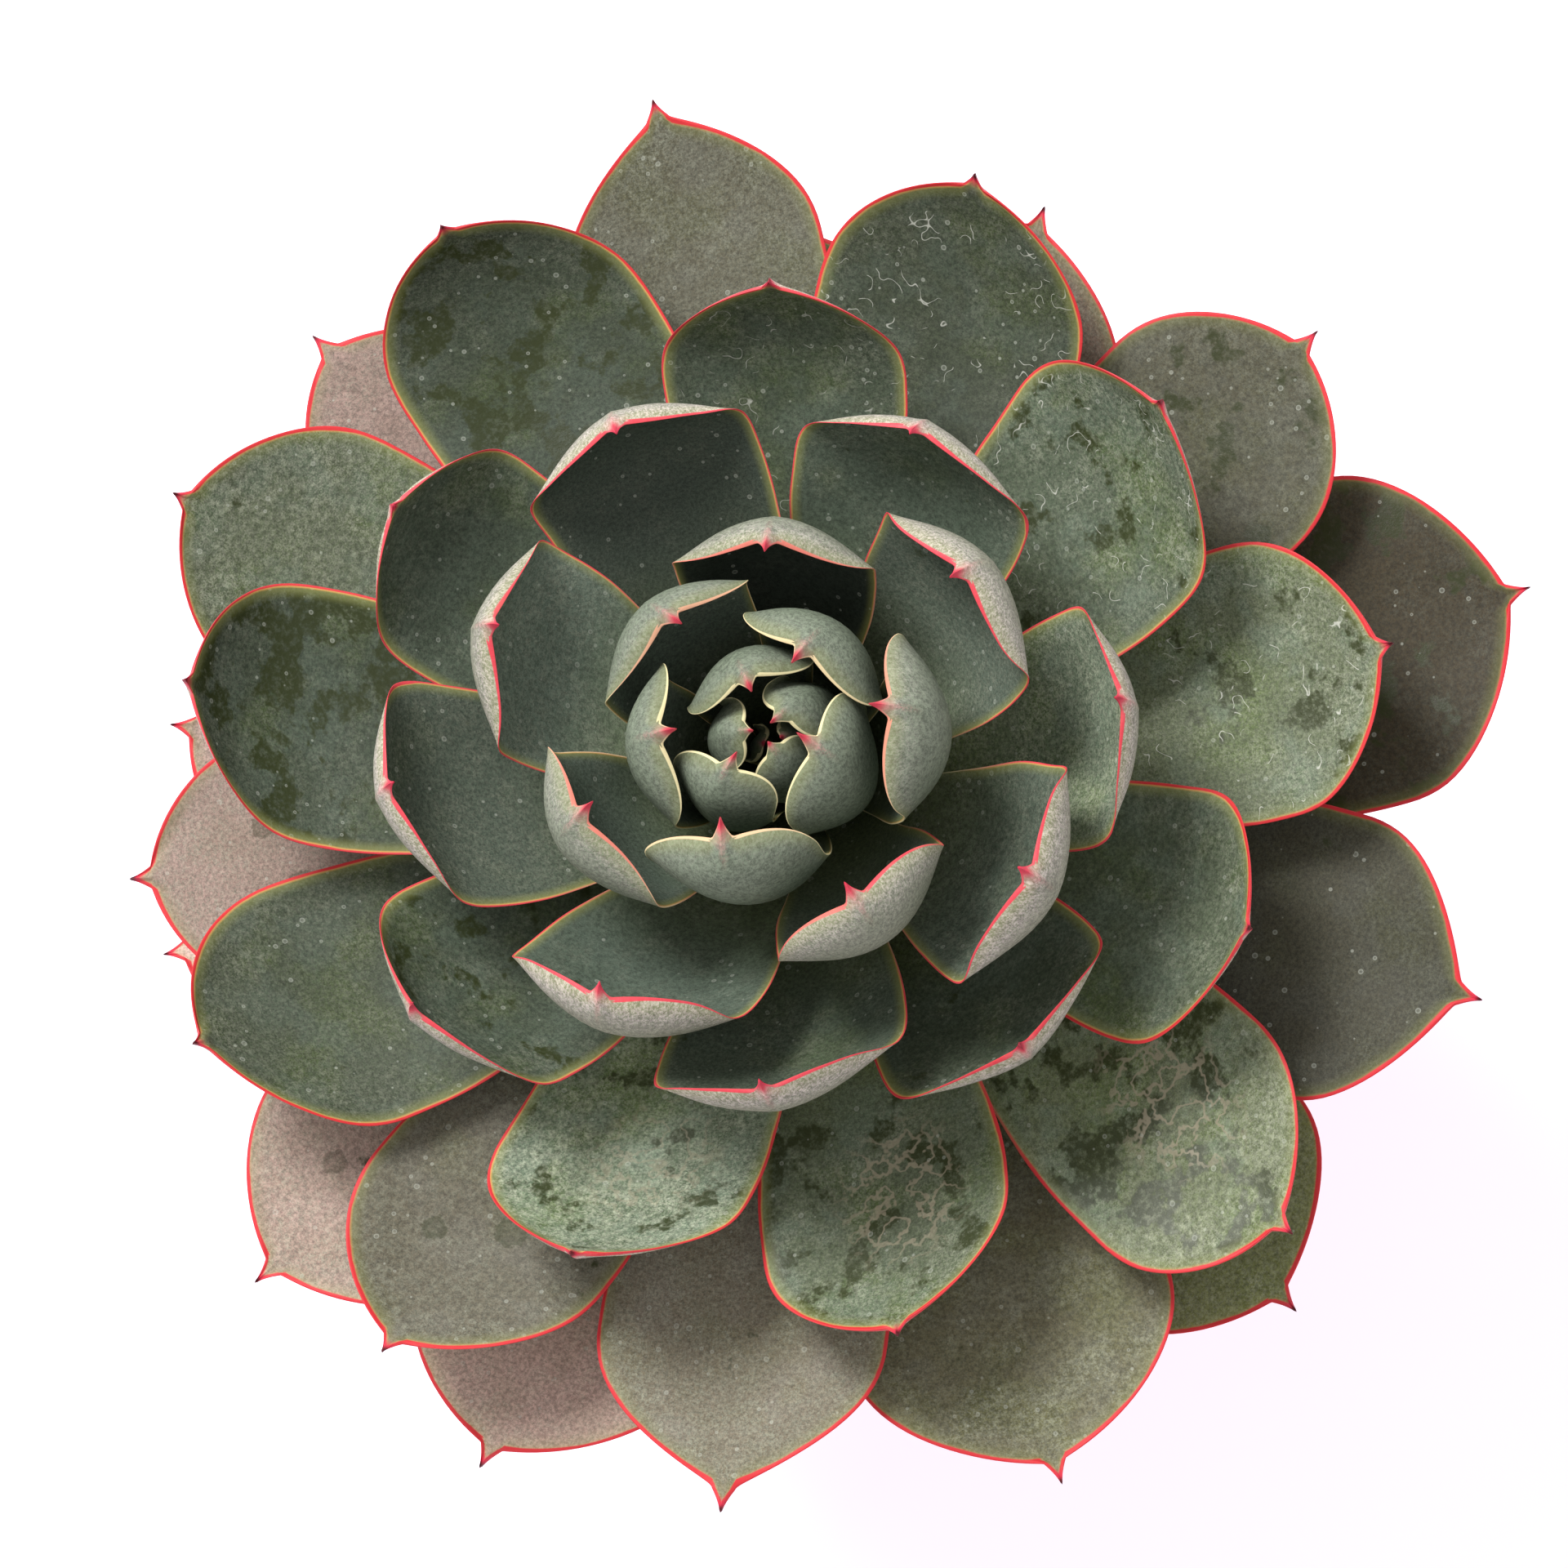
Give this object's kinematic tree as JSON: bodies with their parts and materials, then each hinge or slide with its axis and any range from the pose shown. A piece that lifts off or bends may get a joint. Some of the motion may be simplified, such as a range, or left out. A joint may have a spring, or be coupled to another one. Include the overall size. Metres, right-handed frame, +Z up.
{
  "type": "potted echeveria",
  "caption": "Rosette succulent of fleshy, cupped, red-edged leaves on a short stem, growing in soil in a plain round tapered pot with a rim.",
  "frame": {"origin": "middle of the pot's flat underside", "axes": "+Z up along the pot's axis; seen from above, +X is the picture's right and +Y its top"},
  "size_m": [0.1523, 0.1538, 0.1363],
  "materials": {
    "pot": "matte",
    "soil": "matte",
    "stem": "matte",
    "heart": "matte",
    "inner_leaf": "matte",
    "middle_leaf": "matte",
    "outer_leaf": "matte"
  },
  "bodies": {
    "root": {"pot": "pot", "soil": "soil", "stem": "stem", "heart": "heart", "leaf_01": "inner_leaf", "leaf_02": "inner_leaf", "leaf_03": "inner_leaf", "leaf_04": "inner_leaf", "leaf_05": "inner_leaf", "leaf_06": "inner_leaf", "leaf_07": "inner_leaf", "leaf_08": "inner_leaf", "leaf_09": "inner_leaf", "leaf_10": "inner_leaf", "leaf_11": "inner_leaf", "leaf_12": "inner_leaf", "leaf_13": "inner_leaf", "leaf_14": "inner_leaf", "leaf_15": "middle_leaf", "leaf_16": "middle_leaf", "leaf_17": "middle_leaf", "leaf_18": "middle_leaf", "leaf_19": "middle_leaf", "leaf_20": "middle_leaf", "leaf_21": "middle_leaf", "leaf_22": "middle_leaf", "leaf_23": "middle_leaf", "leaf_24": "middle_leaf", "leaf_25": "middle_leaf", "leaf_26": "middle_leaf", "leaf_27": "middle_leaf", "leaf_28": "middle_leaf", "leaf_29": "middle_leaf", "leaf_30": "middle_leaf", "leaf_31": "middle_leaf", "leaf_32": "middle_leaf", "leaf_33": "middle_leaf", "leaf_34": "middle_leaf", "leaf_35": "middle_leaf", "leaf_36": "middle_leaf", "leaf_37": "outer_leaf", "leaf_38": "outer_leaf", "leaf_39": "outer_leaf", "leaf_40": "outer_leaf", "leaf_41": "outer_leaf", "leaf_42": "outer_leaf", "leaf_43": "outer_leaf", "leaf_44": "outer_leaf", "leaf_45": "outer_leaf", "leaf_46": "outer_leaf", "leaf_47": "outer_leaf", "leaf_48": "outer_leaf", "leaf_49": "outer_leaf", "leaf_50": "outer_leaf", "leaf_51": "outer_leaf", "leaf_52": "outer_leaf", "leaf_53": "outer_leaf", "leaf_54": "outer_leaf"}
  },
  "joints": []
}
